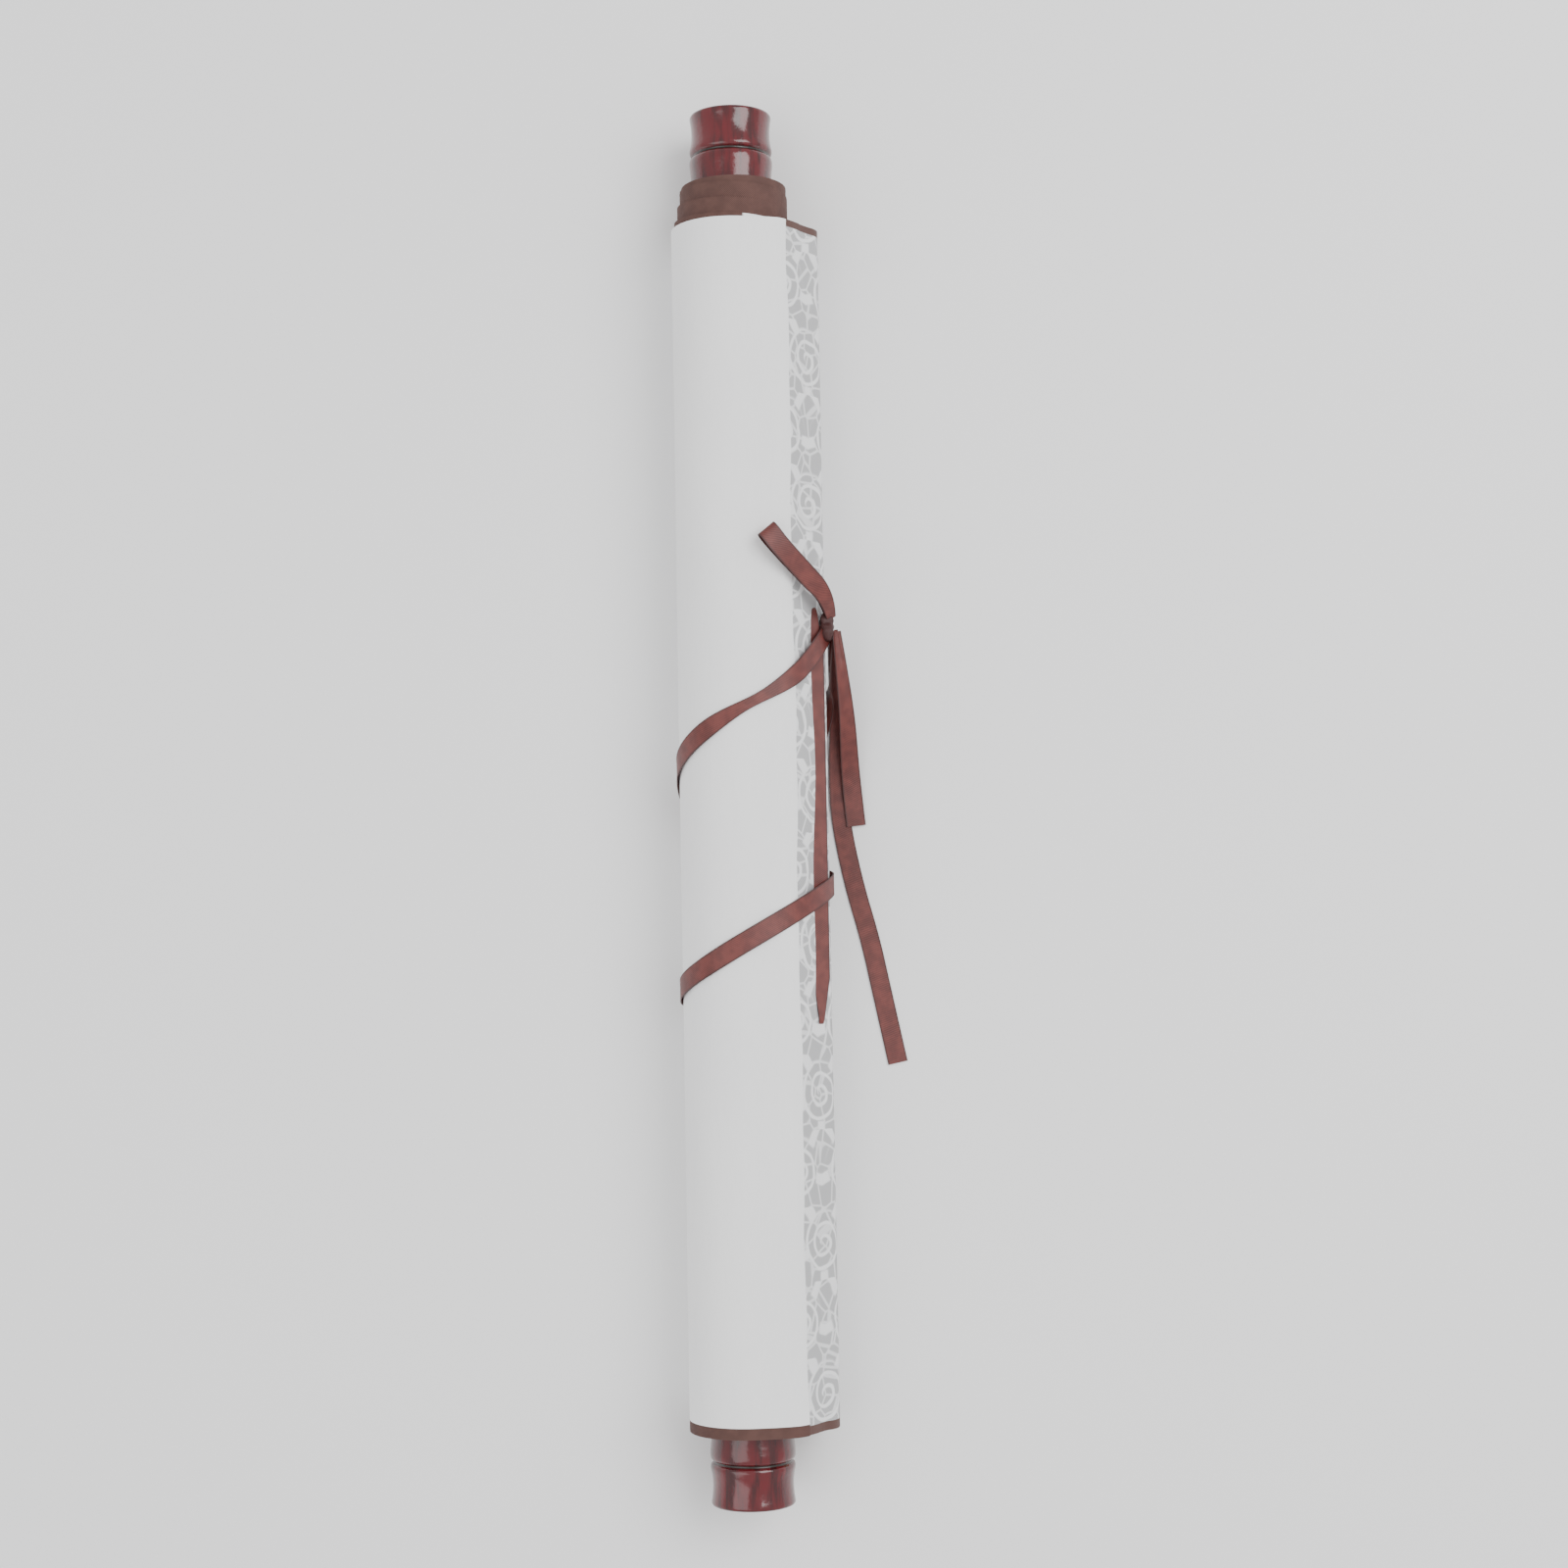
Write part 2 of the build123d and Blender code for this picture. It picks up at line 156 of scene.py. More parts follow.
class Shader:
    """A material under construction."""

    def __init__(self, name, roughness=0.6, **constants):
        self.material = bpy.data.materials.new(name)
        self.material.use_nodes = True
        self.tree = self.material.node_tree
        self.surface = self.tree.nodes["Principled BSDF"]
        self.surface.inputs["Roughness"].default_value = roughness
        for socket, value in constants.items():
            self.surface.inputs[socket.replace("_", " ")].default_value = value

    def node(self, kind, settings, inputs, output=0):
        made = self.tree.nodes.new(kind)
        for key, value in settings.items():
            setattr(made, key, value)
        pairs = inputs.items() if isinstance(inputs, dict) else enumerate(inputs)
        for key, value in pairs:
            if isinstance(value, Value):
                self.tree.links.new(value.socket, made.inputs[key])
            else:
                made.inputs[key].default_value = value
        return Value(self, made.outputs[output])

    def place(self):
        return self.node("ShaderNodeTexCoord", {}, {}, "Object")

    def cloth(self):
        return self.node("ShaderNodeTexCoord", {}, {}, "UV")

    def split(self, vector):
        made = self.node("ShaderNodeSeparateXYZ", {}, [vector])
        return [Value(self, socket) for socket in made.socket.node.outputs]

    def painted(self, name):
        """A value that the mesh carries at each vertex."""
        return self.node("ShaderNodeAttribute", {"attribute_name": name}, {}, "Fac")

    def noise(self, vector, scale, detail=3.0):
        inputs = {"Vector": vector, "Scale": scale, "Detail": detail}
        return self.node("ShaderNodeTexNoise", {}, inputs)

    def stretched(self, vector, scale):
        return self.node("ShaderNodeMapping", {}, {"Vector": vector, "Scale": scale})

    def mix(self, mask, first, second):
        return self.node("ShaderNodeMix", {"data_type": "RGBA"}, {0: mask, 6: first, 7: second}, 2)

    def colour(self, value):
        self.tree.links.new(value.socket, self.surface.inputs["Base Color"])

    def rough(self, value):
        self.tree.links.new(value.socket, self.surface.inputs["Roughness"])

    def bump(self, height, strength, distance):
        inputs = {"Strength": strength, "Distance": distance, "Height": height}
        made = self.node("ShaderNodeBump", {}, inputs)
        self.tree.links.new(made.socket, self.surface.inputs["Normal"])


def tint(red, green, blue):
    """A screen colour, 0 to 255, as the linear colour that a shader takes."""
    linear = [((c / 255 + 0.055) / 1.055) ** 2.4 if c > 10 else c / 3294 for c in (red, green, blue)]
    return (*linear, 1)


# %% [markdown]
# ## Finishes
# Paper is matte and barely mottled. The brown edging is a fine plain weave. The brocade has a twill ground
# with pale scrolling vines. Lacquer is dark red and glossy, with grain showing faintly through it.

# %% Floor and paper
EDGING_DARK = tint(66, 42, 38)
EDGING_LIGHT = tint(96, 66, 59)
THREAD_PITCH = 0.0006

table = Shader("pale_table", roughness=0.7)
table.colour(table.mix(table.noise(table.place(), 3), tint(240, 240, 241), tint(244, 244, 244)))
floor.data.materials.append(table.material)


def weave(shader, uv):
    """Threads over and under, from 0 to 1."""
    across, along, unused = shader.split(uv)
    return across.ripple(THREAD_PITCH) * along.ripple(THREAD_PITCH) * 0.5 + 0.5


def paper_and_edging():
    made = Shader("backing_paper", roughness=0.85)
    where = made.place()
    mottle = made.noise(made.stretched(where, (1, 0.3, 1)), 60, 5).step(0.3, 0.7)
    fibres = made.noise(made.stretched(where, (1, 0.2, 1)), 900, 2).step(0.45, 0.75)
    white = made.mix(mottle * 0.6 + fibres * 0.3, tint(243, 243, 243), tint(237, 237, 238))
    threads = weave(made, made.cloth())
    blotch = made.noise(where, 260, 4).step(0.3, 0.7)
    brown = made.mix(threads * 0.7 + blotch * 0.3, EDGING_DARK, EDGING_LIGHT)
    edging = made.painted("edging")
    made.colour(made.mix(edging.step(0.35, 0.65), white, brown))
    made.bump(fibres * 0.3 + threads * edging, 0.35, 0.0001)
    return made.material


# %% Brocade with scrolling vines
VINE_REPEAT = 0.022
ARM_SPACING = 0.17  # between the arms of a spiral, as a share of the repeat
FLOWERS_PER_METRE = 165.0
TWILL_PITCH = 0.0009


def brocade():
    made = Shader("brocade_cloth", roughness=0.62)
    uv = made.cloth()
    across, along, unused = made.split(uv)
    wander = made.noise(uv, 90, 2) - 0.5
    column = across / VINE_REPEAT + wander * 0.12
    drop = column.math("FLOOR").math("MODULO", 2.0) * 0.5
    row = along / VINE_REPEAT + drop + wander * 0.12
    x = column.math("FRACT") - 0.5
    y = row.math("FRACT") - 0.5
    radius = (x * x + y * y).math("SQRT")
    angle = y.math("ARCTAN2", x) / (2 * math.pi)
    hand = (row.math("FLOOR").math("MODULO", 2.0).math("ABSOLUTE")) * 2 - 1
    winding = (angle * hand + radius / ARM_SPACING).math("FRACT") - 0.5
    stem = 1 - winding.math("ABSOLUTE").step(0.1, 0.2)
    stem = stem * (1 - radius.step(0.4, 0.46)) * radius.step(0.03, 0.06)
    leaf_angle = ((angle * 5).math("FRACT") - 0.5).math("ABSOLUTE")
    leaf = (1 - (leaf_angle * radius).step(0.045, 0.075)) * radius.step(0.36, 0.4)
    inputs = {"Vector": uv, "Scale": FLOWERS_PER_METRE}
    flower = made.node("ShaderNodeTexVoronoi", {"feature": "DISTANCE_TO_EDGE"}, inputs)
    outline = 1 - flower.step(0.03, 0.07)
    vines = (stem.math("MAXIMUM", leaf)).math("MAXIMUM", outline * 0.75)
    twill = (across + along).ripple(TWILL_PITCH) * 0.5 + 0.5
    ground = made.mix(twill, tint(158, 158, 160), tint(188, 188, 189))
    edging = made.painted("edging")
    threads = weave(made, uv)
    brown = made.mix(threads, EDGING_DARK, EDGING_LIGHT)
    cloth = made.mix(vines, ground, tint(232, 232, 233))
    made.colour(made.mix(edging.step(0.35, 0.65), cloth, brown))
    made.bump(vines * 0.6 + twill * 0.25, 0.4, 0.00012)
    return made.material


# %% Lacquer, ribbon and wood
RIBBON_PITCH = 0.0006


def lacquer():
    made = Shader("knob_lacquer", roughness=0.2, Coat_Weight=0.35, Coat_Roughness=0.1)
    where = made.place()
    grain = made.noise(made.stretched(where, (1, 0.12, 1)), 420, 5).step(0.42, 0.66)
    depth = made.noise(where, 90, 3).step(0.35, 0.7)
    red = made.mix(grain * 0.75, tint(92, 10, 20), tint(30, 7, 10))
    red = made.mix(depth * 0.5, red, tint(66, 9, 14))
    groove = made.painted("groove")
    chips = made.noise(where, 330, 2).step(0.74, 0.78)
    red = made.mix(chips, red, tint(52, 20, 16))
    made.colour(made.mix(groove.step(0.2, 0.9), red, tint(24, 22, 16)))
    peel = made.noise(where, 700, 2)
    made.rough(peel * 0.16 + groove * 0.2 + 0.1)
    made.bump(peel - chips * 0.6, 0.28, 0.00025)
    return made.material


def satin():
    made = Shader("ribbon", roughness=0.5)
    across, along, unused = made.split(made.cloth())
    edge = (across.math("ABSOLUTE")).step(0.0023, 0.003)
    twill = (across * 0.6 + along).ripple(RIBBON_PITCH) * 0.5 + 0.5
    # Painted sheen: lighter blotches of noise, mixed with the twill stripes, stand in for the satin's
    # sheen.
    painted_sheen = made.noise(made.place(), 300, 3).step(0.35, 0.7)
    body = made.mix(twill * 0.6 + painted_sheen * 0.4, tint(70, 26, 24), tint(116, 54, 48))
    made.colour(made.mix(edge * 0.75, body, tint(40, 14, 14)))
    made.bump(twill, 0.3, 0.0001)
    return made.material


def wood(name, light, dark):
    made = Shader(name, roughness=0.6)
    grain = made.noise(made.stretched(made.place(), (1, 0.05, 1)), 500, 5)
    made.colour(made.mix(grain.step(0.35, 0.65), light, dark))
    made.bump(grain, 0.2, 0.0002)
    return made.material


paper_finish = paper_and_edging()
brocade_finish = brocade()
lacquer_finish = lacquer()
ribbon_finish = satin()
for node, name, light, dark in (
    ("roller_rod", "roller_wood", tint(205, 172, 130), tint(176, 140, 98)),
    ("stave", "stave_wood", tint(214, 186, 146), tint(190, 158, 116)),
):
    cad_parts[node].data.materials.clear()
    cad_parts[node].data.materials.append(wood(name, light, dark))


# %% [markdown]
# ## The ribbon
# A ribbon is a flat band that follows a smooth line. The line is a NURBS spline that starts and ends on its
# route's end points and is drawn towards the others. The band's face is turned to what it lies on.

# %% Reading a route's line
def smooth_line(route, resolution=10):
    """Points along the NURBS spline of a route, in metres."""
    curve = bpy.data.curves.new("route", "CURVE")
    curve.dimensions = "3D"
    spline = curve.splines.new("NURBS")
    spline.points.add(len(route) - 1)
    for point, place in zip(spline.points, route):
        point.co = [c * MM for c in place] + [1]
    spline.order_u = 3
    spline.use_endpoint_u = True
    spline.resolution_u = resolution
    holder = bpy.data.objects.new("route", curve)
    bpy.context.scene.collection.objects.link(holder)
    bpy.context.view_layer.update()
    mesh = bpy.data.meshes.new_from_object(holder)
    line = [vertex.co.copy() for vertex in mesh.vertices]
    bpy.data.objects.remove(holder)
    return line


def line_length(line):
    """In metres."""
    return sum((b - a).length for a, b in zip(line, line[1:]))


# %% Laying a band along a line
WIDTH = 0.006
RIBBON_THICKNESS = 0.00032
ACROSS = [-1, -0.85, -0.5, 0, 0.5, 0.85, 1]  # half widths from the ribbon's middle
PLEAT_TURNS = 5.2  # radians of the pleats' wave over half the width


def cloth_grid(name, places, uvs, columns, edging=()):
    """A surface through rows of points, with its UV map in metres."""
    faces = []
    for row in range(len(places) // columns - 1):
        for column in range(columns - 1):
            first = row * columns + column
            faces.append((first, first + 1, first + columns + 1, first + columns))
    mesh = bpy.data.meshes.new(name)
    mesh.from_pydata(places, [], faces)
    if edging:
        attribute = mesh.attributes.new("edging", "FLOAT", "POINT")
        attribute.data.foreach_set("value", edging)
    layer = mesh.uv_layers.new(name="cloth")
    for loop in mesh.loops:
        layer.data[loop.index].uv = uvs[loop.vertex_index]
    piece = bpy.data.objects.new(name, mesh)
    bpy.context.scene.collection.objects.link(piece)
    return piece


def band(name, line, face_of, width_of):
    """A flat ribbon along a line."""
    total = line_length(line)
    places, uvs = [], []
    travelled = 0.0
    previous = None
    for index, here in enumerate(line):
        before = line[max(index - 1, 0)]
        after = line[min(index + 1, len(line) - 1)]
        heading = (after - before).normalized()
        travelled += (here - line[index - 1]).length if index else 0.0
        face = face_of(here, heading)
        face = (face - heading * face.dot(heading)).normalized()
        if previous and face.dot(previous) < 0:
            face = -face
        previous = face
        side = heading.cross(face)
        width, pleat = width_of(travelled, total)
        for share in ACROSS:
            lift = pleat * math.cos(share * PLEAT_TURNS)
            places.append(here + side * (share * width / 2) + face * lift)
            uvs.append((share * WIDTH / 2, travelled))
    piece = cloth_grid(name, places, uvs, len(ACROSS))
    finish_piece(piece, ribbon_finish, RIBBON_THICKNESS)
    print(name, "length", round(total, 4))
    return piece


SMOOTH_BELOW = 40  # degrees between faces that are shaded as one surface


def finish_piece(piece, material, thickness):
    """Gives a surface its thickness and finish, and rides it on the body."""
    piece.data.materials.append(material)
    bpy.ops.object.select_all(action="DESELECT")
    piece.select_set(True)
    bpy.context.view_layer.objects.active = piece
    if thickness:
        wall = piece.modifiers.new("wall", "SOLIDIFY")
        wall.thickness = thickness
        wall.offset = 0
        bpy.ops.object.modifier_apply(modifier=wall.name)
    bpy.ops.object.shade_smooth_by_angle(angle=math.radians(SMOOTH_BELOW))
    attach(piece, "root")


def round_the_roll(here, heading):
    """Square to the ribbon in the roll's cross-section."""
    return Vector((-heading.z, 0, heading.x))


# %% The tie's two turns
turns_route = [
    (27.4, 56.4, 19.7), (24.4, 50.3, 24.5), (16.0, 40.0, 33.8), (-6.2, 29.0, 37.0), (-18.3, 19.0, 24.9),
    (-18.3, 11.0, 12.4), (-13.4, 3.5, 4.0), (-8.6, -2.0, 1.5), (0.2, -8.2, 1.5), (8.0, -12.0, 1.8),
    (16.5, -15.6, 5.4), (27.8, -18.0, 10.4), (28.3, -20.0, 19.4), (16.0, -28.0, 33.8), (-6.2, -40.5, 37.0),
    (-18.3, -48.5, 24.9), (-18.3, -52.5, 12.4), (-13.4, -51.5, 4.0), (-7.6, -45.0, 0.8), (0.2, -32.0, 0.5),
    (8.1, -15.0, 0.6), (16.5, 7.0, 4.4), (28.0, 34.0, 10.4), (28.0, 46.0, 15.0), (28.5, 55.0, 17.0),
]


NARROW_AT = 0.036  # from the knot
NARROW_SPREAD = 0.012
NARROWING = 0.0028


def turns_width(travelled, total):
    """Width and pleat height: narrowed over the top of the first turn."""
    narrow = math.exp(-(((travelled - NARROW_AT) / NARROW_SPREAD) ** 2))
    return WIDTH - NARROWING * narrow, 0.0


turns_line = smooth_line(turns_route)
tie_turns = band("tie_turns", turns_line, round_the_roll, turns_width)
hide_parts("tie_first_turn", "tie_second_turn")

# %% The bow's loop
loop_route = [
    (28.4, 60.4, 20.0), (27.6, 66.6, 24.8), (20.2, 73.6, 31.4), (13.4, 80.4, 36.4), (9.4, 85.2, 37.4),
    (10.2, 85.2, 39.8), (14.0, 80.0, 38.8), (20.8, 73.0, 33.2), (28.0, 65.8, 27.0), (28.8, 60.4, 21.6),
]


LOOP_SIDE = Vector((0.76, 0.64, -0.15))  # the way the loop's ribbon is wide
LOOP_SPREADS_OVER = 0.014
GATHERED_WIDTH = 0.0032


def loop_face(here, heading):
    return heading.cross(LOOP_SIDE)


def loop_width(travelled, total):
    """Gathered at the knot and full at the tip."""
    spread = min(travelled, total - travelled) / LOOP_SPREADS_OVER
    return GATHERED_WIDTH + NARROWING * min(1.0, spread), 0.0


loop_line = smooth_line(loop_route, 14)
tie_loop = band("tie_loop", loop_line, loop_face, loop_width)
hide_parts("tie_loop")

# %% The two tails
short_route = [
    (30.3, 56.6, 20.0), (31.8, 44.0, 18.0), (33.2, 31.0, 11.4), (33.8, 19.0, 4.6), (34.6, 9.0, 1.6),
    (35.6, -1.2, 0.8),
]
long_route = [
    (29.4, 57.2, 18.0), (30.0, 44.0, 14.2), (30.6, 31.0, 7.4), (30.2, 15.0, 1.7), (30.8, 0.0, 0.25),
    (34.6, -19.5, 0.25), (39.2, -36.0, 0.25), (42.4, -52.0, 0.25), (46.9, -73.8, 0.25),
]


KNOT_HEIGHT = 0.02
PLEATS_FADE_OVER = 0.02
PLEAT_HEIGHT = 0.0004


def tail_face(here, heading):
    """Turned up on the table, and tilted outwards towards the knot."""
    height = min(1.0, here.z / KNOT_HEIGHT)
    return Vector((0.6 * height, 0, 1 - 0.3 * height))


def tail_width(travelled, total):
    """Gathered in pleats below the knot, flat once it is down."""
    gathered = math.exp(-travelled / PLEATS_FADE_OVER)
    return WIDTH - NARROWING * gathered, PLEAT_HEIGHT * gathered


short_line = smooth_line(short_route, 14)
long_line = smooth_line(long_route, 14)
tail_short = band("tie_tail_short", short_line, tail_face, tail_width)
tail_long = band("tie_tail_long", long_line, tail_face, tail_width)
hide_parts("tie_tail_short")
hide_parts("tie_tail_long")

# %% [markdown]
# ## The knot
# The knot is a small bundle of ribbon. Here it is a block with rounded corners, rippled where the ribbon
# wraps it.

# %% The knot
low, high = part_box("tie_knot")
bpy.ops.object.select_all(action="DESELECT")
bpy.ops.mesh.primitive_cube_add(size=1, location=(0, 0, 0))
knot = bpy.context.object
knot.name = "tie_knot_wrapped"
bpy.ops.object.mode_set(mode="EDIT")
bpy.ops.mesh.select_all(action="SELECT")
bpy.ops.mesh.subdivide(number_cuts=7, smoothness=0.6)
bpy.ops.object.mode_set(mode="OBJECT")
centre = (low + high) / 2
KNOT_SIZE = (0.0029, 0.0064, 0.0042)
for vertex in knot.data.vertices:
    x, y, z = vertex.co
    ridge = 1 + 0.1 * math.cos(y * 18) + 0.06 * math.sin(z * 22 + y * 5)
    vertex.co = centre + Vector((x * KNOT_SIZE[0] * ridge, y * KNOT_SIZE[1], z * KNOT_SIZE[2] * ridge))
knot.data.name = knot.name
finish_piece(knot, ribbon_finish, 0)
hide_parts("tie_knot")

# %% The hanging ribbon
HANG_TURN = math.radians(59.5)
HANG_NEAR, HANG_FAR = -61.0, 64.0  # the two holes, in millimetres along the roller
HOLE_FLOOR, HOLE_MOUTH, ON_COVER = 2.6, 6.2, 7.5  # millimetres from the stave's middle
hang_out = Vector((math.cos(HANG_TURN), 0, math.sin(HANG_TURN)))
stave_middle = Vector((0.01989, 0, 0.01526))


def beside_stave(distance, y):
    """A point of the route, in millimetres."""
    place = stave_middle / MM + hang_out * distance
    return (place.x, y, place.z)


hang_route = [
    beside_stave(HOLE_FLOOR, HANG_FAR), beside_stave(HOLE_MOUTH, HANG_FAR),
    beside_stave(ON_COVER, HANG_FAR - 0.6), beside_stave(ON_COVER, HANG_FAR - 6),
    beside_stave(ON_COVER, 40), beside_stave(7.6, 0), beside_stave(ON_COVER, -38),
    beside_stave(ON_COVER, HANG_NEAR + 6), beside_stave(ON_COVER, HANG_NEAR + 0.6),
    beside_stave(HOLE_MOUTH, HANG_NEAR), beside_stave(HOLE_FLOOR, HANG_NEAR),
]


def hang_face(here, heading):
    return heading.cross(Vector((-hang_out.z, 0, hang_out.x)))


def hang_width(travelled, total):
    """Bunched in the holes, and full a little way from them."""
    spread = min(1.0, max(0.0, (min(travelled, total - travelled) - 0.005) / 0.013))
    return 0.0016 + 0.0044 * spread, 0.0


hang_line = smooth_line(hang_route, 12)
hanging = band("hanging_ribbon_band", hang_line, hang_face, hang_width)
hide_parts("hanging_ribbon")

# %% Working out the cords' lengths
for piece, line, end, extra in (
    (tie_turns, turns_line, "knot", [knot]),
    (tie_loop, loop_line, "knot", []),
    (tail_short, short_line, "bare", []),
    (tail_long, long_line, "bare", []),
    (hanging, hang_line, "object", []),
):
    line_length(line)
    "taut" if piece in (tie_turns, hanging) else "loose"

# %% [markdown]
# ## The rolled sheet
# The sheet is one spiral, wound from the roller outwards, with its last part-turn going over to the stave.
# The middle turns have slid out at the far end, so each point of the spiral is shifted along the roller by
# how deep in the roll it lies. The brown edging is an attribute that the finish reads.

# %% The spiral and its slide
AXIS_Z = 0.01735
PITCH = 0.00045
OUTER = 0.01755
INNER = 0.0105
LEAVE = math.radians(80)
STEPS = 40
HALF = 0.18
SLIDE = 0.013  # how far the middle turns have slid
INNER_SLIDE = 0.007
SLIDE_FROM, SLIDE_FULL, INNER_TURNS = 0.0172, 0.0160, 0.0129  # radii
SLIDE_RAMP = 0.0012  # depth of the turns that slid part of the way
SHEET_THICKNESS = 0.0004
NEAR_EDGING, FAR_EDGING = 0.0033, 0.3465  # where the brown starts, from the near edge


def slide(radius):
    """How far the turns at this radius have slid along the roller."""
    if radius > SLIDE_FROM:
        return 0.0
    if radius > SLIDE_FULL:
        return SLIDE * (SLIDE_FROM - radius) / SLIDE_RAMP
    if radius > INNER_TURNS:
        return SLIDE
    return INNER_SLIDE


def spiral():
    """Profile points (x, z, slide, is edging at the far end) from the roller outwards."""
    turns = (OUTER - INNER) / PITCH
    count = int(turns * STEPS)
    profile = []
    for index in range(count + 1):
        inward = (1 - index / count) * turns
        angle = LEAVE + inward * 2 * math.pi
        radius = OUTER - inward * PITCH
        shift = 0.0014 * min(1.0, max(0.0, (0.0174 - radius) / 0.0012))
        x = shift + radius * math.cos(angle)
        z = max(AXIS_Z + radius * math.sin(angle), 0.0003 + min(inward, 3) * PITCH)
        profile.append((x, z, slide(radius), 1.0 if inward > 1.0 else 0.0))
    return profile


web = [(0.0080, 0.0339), (0.0120, 0.0330), (0.0146, 0.0322), (0.0162, 0.0311), (0.0173, 0.0299)]
profile = spiral() + [(x, z, 0.0, 0.0) for x, z in web]
stations = [0, 0.0032, 0.0034, 0.012] + [0.012 + 0.334 * k / 30 for k in range(1, 31)]
stations += [0.3462, 0.3467, 0.356, 0.36]


def distances(outline):
    """How far along an outline each of its points lies."""
    run = [0.0]
    for before, here in zip(outline, outline[1:]):
        run.append(run[-1] + math.hypot(here[0] - before[0], here[1] - before[1]))
    return run


def wound_sheet():
    """The spiral as a mesh, and the length of the sheet."""
    places, edging, uvs = [], [], []
    runs = distances(profile)
    for index, (x, z, slid, inside) in enumerate(profile):
        last = index >= len(profile) - 2
        for v in stations:
            y = v - HALF + slid
            wave = 0.00025 * math.sin(y * 61) + 0.0002 * math.sin(y * 173 + 1) if last else 0.0
            swell = 0.00006 * math.sin(y * 37 + index * 0.16)
            places.append((x + wave + swell, y, z + swell - wave * 0.9))
            near = 1.0 if v < NEAR_EDGING else 0.0
            far = inside if v > FAR_EDGING else 0.0
            edging.append(max(near, far))
            uvs.append((v, runs[index]))
    piece = cloth_grid("wound_sheet", places, uvs, len(stations), edging)
    finish_piece(piece, paper_finish, SHEET_THICKNESS)
    return piece, runs[-1]


sheet, sheet_length = wound_sheet()
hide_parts("rolled_sheet", "edging_near_inner", "edging_far_inner")
print("sheet length", round(sheet_length, 3))

# %% [markdown]
# ## The brocade over the stave
# The cloth starts under the paper's cut edge, dips between the roll and the stave, and wraps the half-round
# wood.

# %% The brocade cover
NOSE_RADIUS = 0.0068
NOSE_STEPS = 14
NOSE_FROM, NOSE_ANGLE = 60, 156  # degrees
COVER_NEAR_EDGING, COVER_FAR_EDGING = 0.00265, 0.35785


def cover_profile():
    """The cloth's cross-section, from the paper's cut edge round the stave to its back."""
    dip = [
        (0.0160, 0.0307), (0.0172, 0.0296), (0.0186, 0.0280),
        (0.0203, 0.0257), (0.0212, 0.0240), (0.0222, 0.0226),
    ]
    nose = []
    for step in range(NOSE_STEPS + 1):
        angle = math.radians(NOSE_FROM - step * NOSE_ANGLE / NOSE_STEPS)
        x = stave_middle.x + NOSE_RADIUS * math.cos(angle)
        nose.append((x, stave_middle.z + NOSE_RADIUS * math.sin(angle)))
    back_low = (0.01790, 0.0087)
    back_high = (0.0189, 0.0216)
    return dip + nose + [back_low, back_high]


def brocade_cover():
    """The cover as a mesh, and the length of cloth across the roller."""
    outline = cover_profile()
    rows = [0, 0.0026, 0.0027] + [0.0027 + 0.3553 * k / 60 for k in range(1, 60)]
    rows += [0.3578, 0.3579, 0.36]
    places, edging, uvs = [], [], []
    runs = distances(outline)
    for index, (x, z) in enumerate(outline):
        for v in rows:
            y = v - HALF
            sag = 0.00018 * math.sin(y * 43 + 0.6) + 0.0001 * math.sin(y * 117)
            loose = 1.0 if 1 <= index <= 6 else 0.15
            places.append((x + sag * loose, y, z + sag * loose))
            edging.append(1.0 if v < COVER_NEAR_EDGING or v > COVER_FAR_EDGING else 0.0)
            uvs.append((v, runs[index]))
    piece = cloth_grid("brocade_cover", places, uvs, len(rows), edging)
    finish_piece(piece, brocade_finish, SHEET_THICKNESS)
    return piece, runs[-1]


cover, cover_run = brocade_cover()
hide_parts("stave_cover", "edging_far", "edging_near")
print("cover round the stave", round(cover_run, 4))

# %% [markdown]
# ## The knobs
# A knob is turned on a lathe, so it is drawn ring by ring: a circle is extruded along the roller and scaled
# to the next radius. The circle's own face ends up closing the last ring.

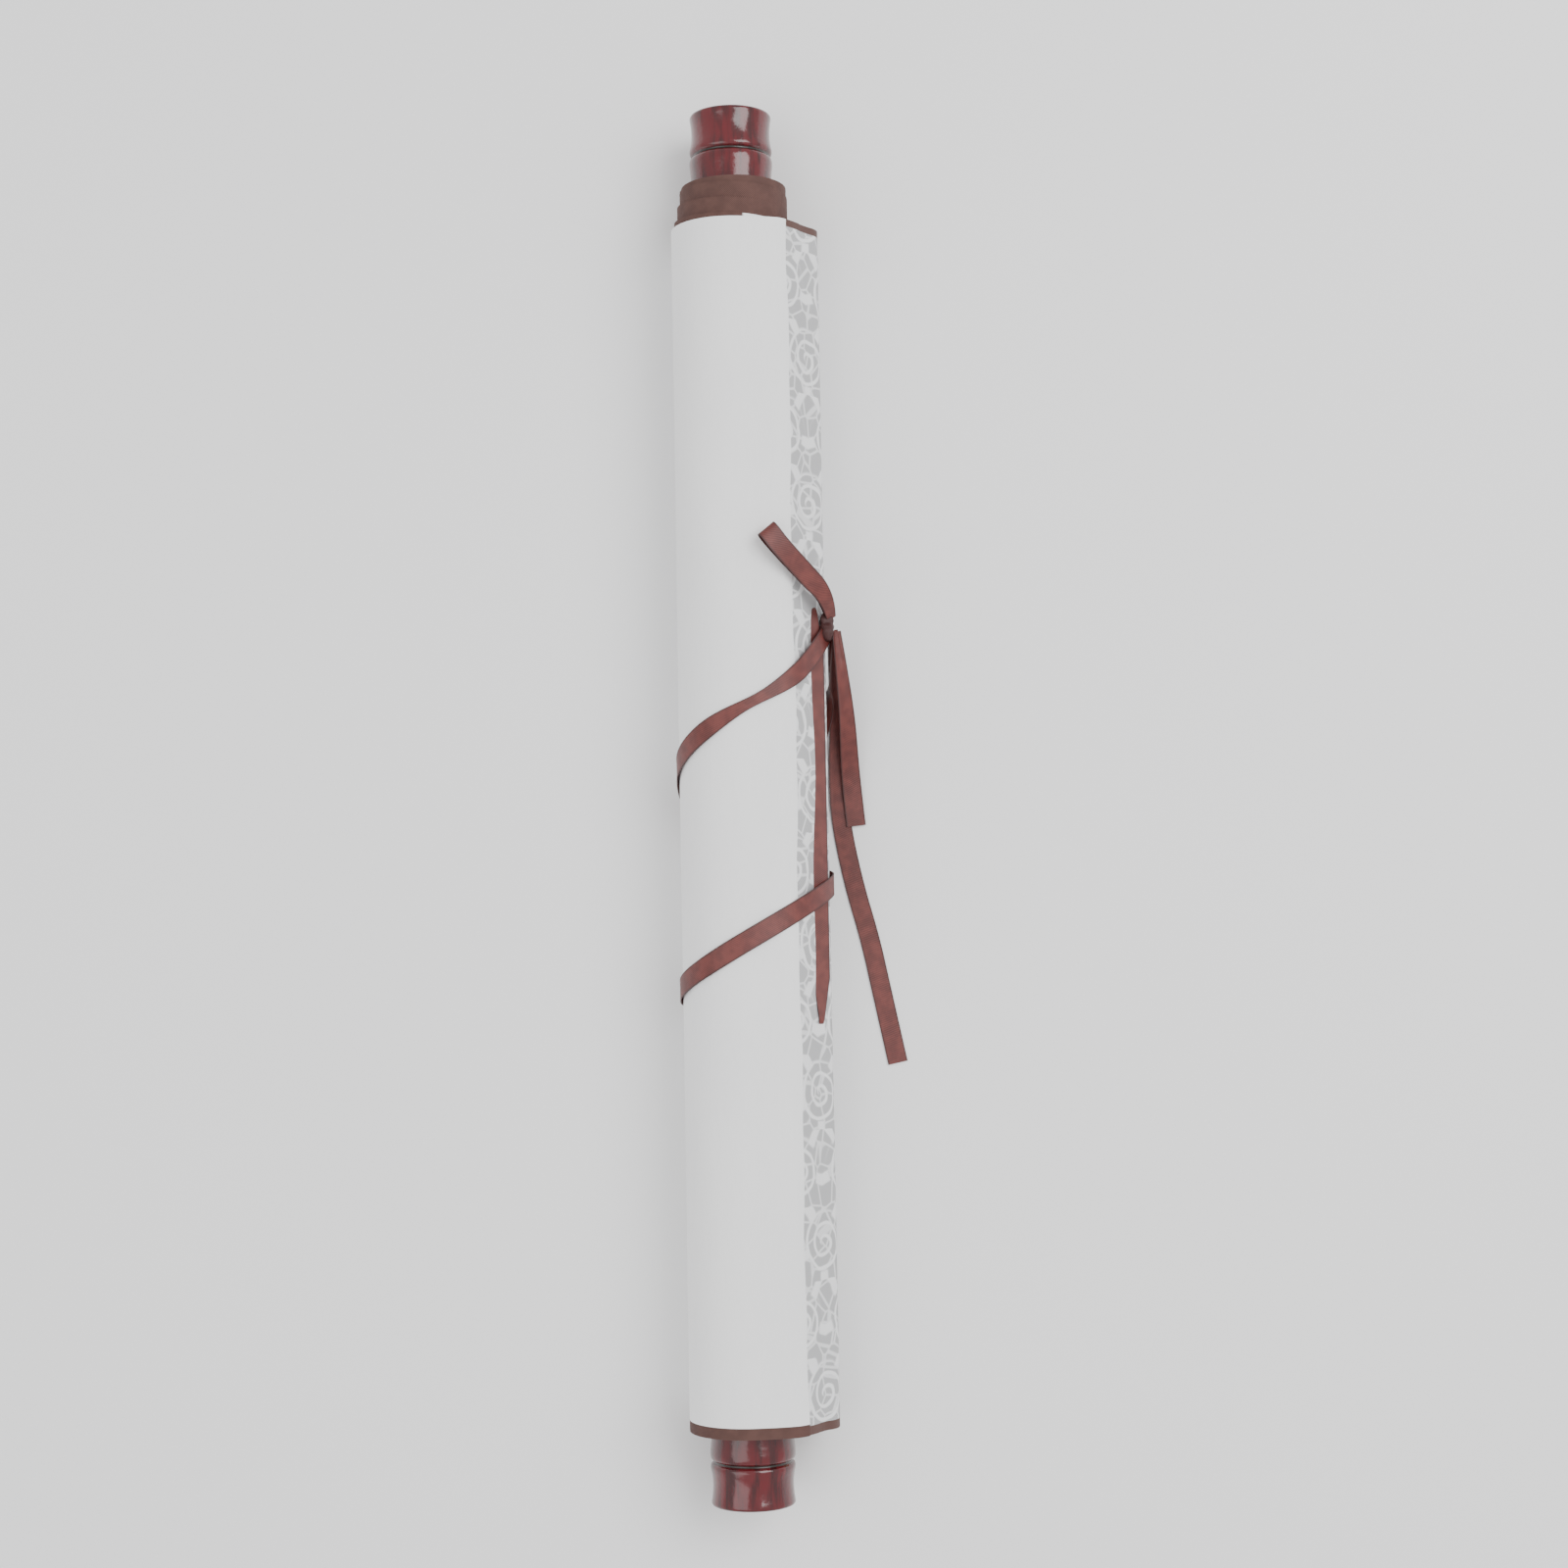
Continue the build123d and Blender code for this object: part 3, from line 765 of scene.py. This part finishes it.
# %% Turning a knob
CIRCLE_RADIUS = 0.005  # of the circle that the rings grow from
GROOVE_AT = 0.01562  # middle of the groove, from the shoulder
GROOVE_FADE = 0.0008
knob_rings = [  # distance from the shoulder, radius
    (0.0, 12.0), (3, 12.05), (6.5, 12.15), (9.5, 12.3), (12.2, 12.58), (13.2, 12.65), (14.2, 12.6),
    (14.7, 12.45), (14.95, 12.25), (15.3, 11.72), (15.5, 11.62), (15.75, 11.62), (15.95, 11.75),
    (16.25, 12.2), (16.5, 12.42), (17.0, 12.58), (17.6, 12.56), (19.0, 12.25), (21.0, 12.0),
    (22.8, 11.95), (24.6, 12.05), (26.3, 12.25), (27.3, 12.42), (27.8, 12.42), (28.2, 12.2),
    (28.4, 11.8), (28.55, 10.5), (28.75, 7.5), (28.92, 3.5), (28.98, 1.0),
]


def turned_knob(name, node, shoulder, end):
    """A knob whose shoulder is at this place along the roller. End is the way it points, -1 or 1."""
    low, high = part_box(node)
    middle = ((low.x + high.x) / 2, shoulder, (low.z + high.z) / 2)
    bpy.ops.object.select_all(action="DESELECT")
    bpy.ops.mesh.primitive_circle_add(
        vertices=96, radius=CIRCLE_RADIUS, fill_type="NGON", location=(0, 0, 0),
        rotation=(math.radians(90), 0, 0))
    knob = bpy.context.object
    knob.name = name
    bpy.ops.object.transform_apply(location=True, rotation=True, scale=True)
    bpy.ops.object.mode_set(mode="EDIT")
    bpy.ops.mesh.select_all(action="SELECT")
    bpy.ops.mesh.extrude_region_move()
    radius, along = CIRCLE_RADIUS, 0.0
    for place, size in knob_rings:
        grow = size * MM / radius
        if along or place:
            move = (0, end * (place * MM - along), 0)
            bpy.ops.mesh.extrude_region_move(TRANSFORM_OT_translate={"value": move})
        about = (0, end * place * MM, 0)
        bpy.ops.transform.resize(value=(grow, 1, grow), center_override=about)
        radius, along = size * MM, place * MM
    bpy.ops.mesh.select_all(action="SELECT")
    bpy.ops.mesh.remove_doubles(threshold=0.000001)
    bpy.ops.mesh.normals_make_consistent(inside=False)
    bpy.ops.object.mode_set(mode="OBJECT")
    attribute = knob.data.attributes.new("groove", "FLOAT", "POINT")
    for vertex, value in zip(knob.data.vertices, attribute.data):
        distance = abs(abs(vertex.co.y) - GROOVE_AT)
        value.value = max(0.0, 1 - distance / GROOVE_FADE)
        vertex.co += Vector(middle)
    finish_piece(knob, lacquer_finish, 0)
    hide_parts(node)
    print(name, "faces", len(knob.data.polygons))


NEAR_SHOULDER, FAR_SHOULDER = -0.1733, 0.1873
turned_knob("near_knob_turned", "knob_near", NEAR_SHOULDER, -1)
turned_knob("far_knob_turned", "knob_far", FAR_SHOULDER, 1)

# %% [markdown]
# ## The size
# The box of the finished model is printed.

# %% Finish
low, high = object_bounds()
print("visual box", low, high)
